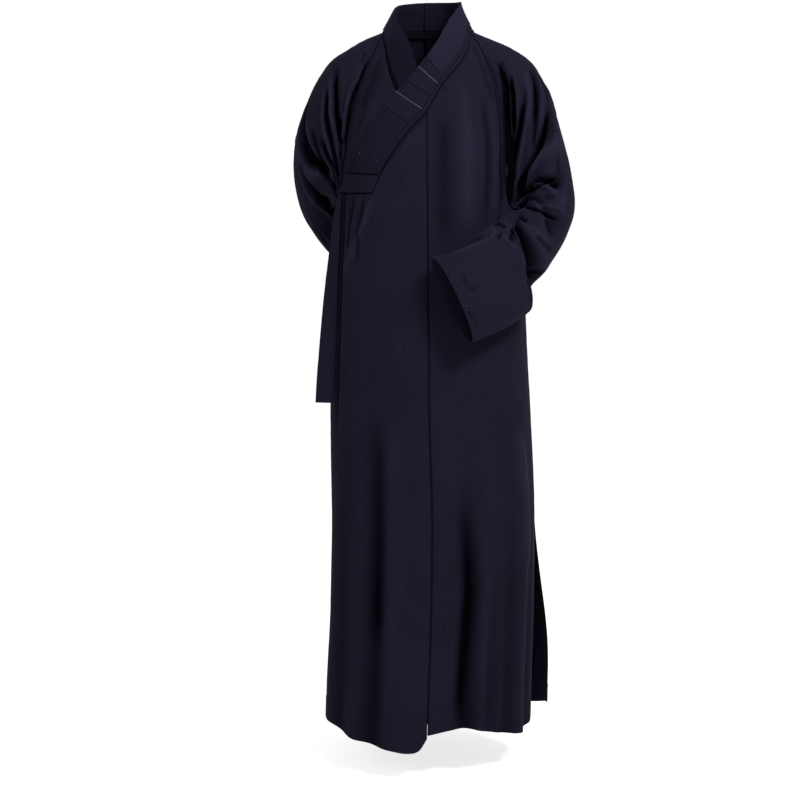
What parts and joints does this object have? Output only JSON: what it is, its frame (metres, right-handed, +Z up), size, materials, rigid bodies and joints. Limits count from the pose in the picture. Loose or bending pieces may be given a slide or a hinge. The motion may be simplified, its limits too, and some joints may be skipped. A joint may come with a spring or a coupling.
{
  "type": "buddhist monk robe",
  "caption": "Long crossed-over monk's gown, worn and hollow, with a patched collar band, wide sleeves, a side tie and an open side slit.",
  "frame": {"origin": "centre of the neck's base, midway between the shoulders, where the wearer's shoulders carry the gown", "axes": "+Z up along the gown's length, -Y to the front, +X to the wearer's left"},
  "size_m": [0.5521, 0.4586, 1.4561],
  "materials": {
    "gown_cloth": "matte dark navy plain weave",
    "band_cloth": "matte dark navy plain weave, doubled and pressed",
    "guard_cloth": "matte dark navy plain weave, faintly worn"
  },
  "bodies": {
    "root": {"front_left": "gown_cloth", "front_overlap": "gown_cloth", "front_right": "gown_cloth", "back_left": "gown_cloth", "back_right": "gown_cloth", "band_outer": "band_cloth", "band_end": "band_cloth", "band_under": "band_cloth", "guard_outer": "guard_cloth", "guard_under": "guard_cloth", "patch_upper": "band_cloth", "patch_lower": "band_cloth", "sleeve_left_upper": "gown_cloth", "sleeve_left_lower": "gown_cloth", "sleeve_right_upper": "gown_cloth", "sleeve_right_lower": "gown_cloth", "tie_ribbon": "gown_cloth"}
  },
  "joints": []
}
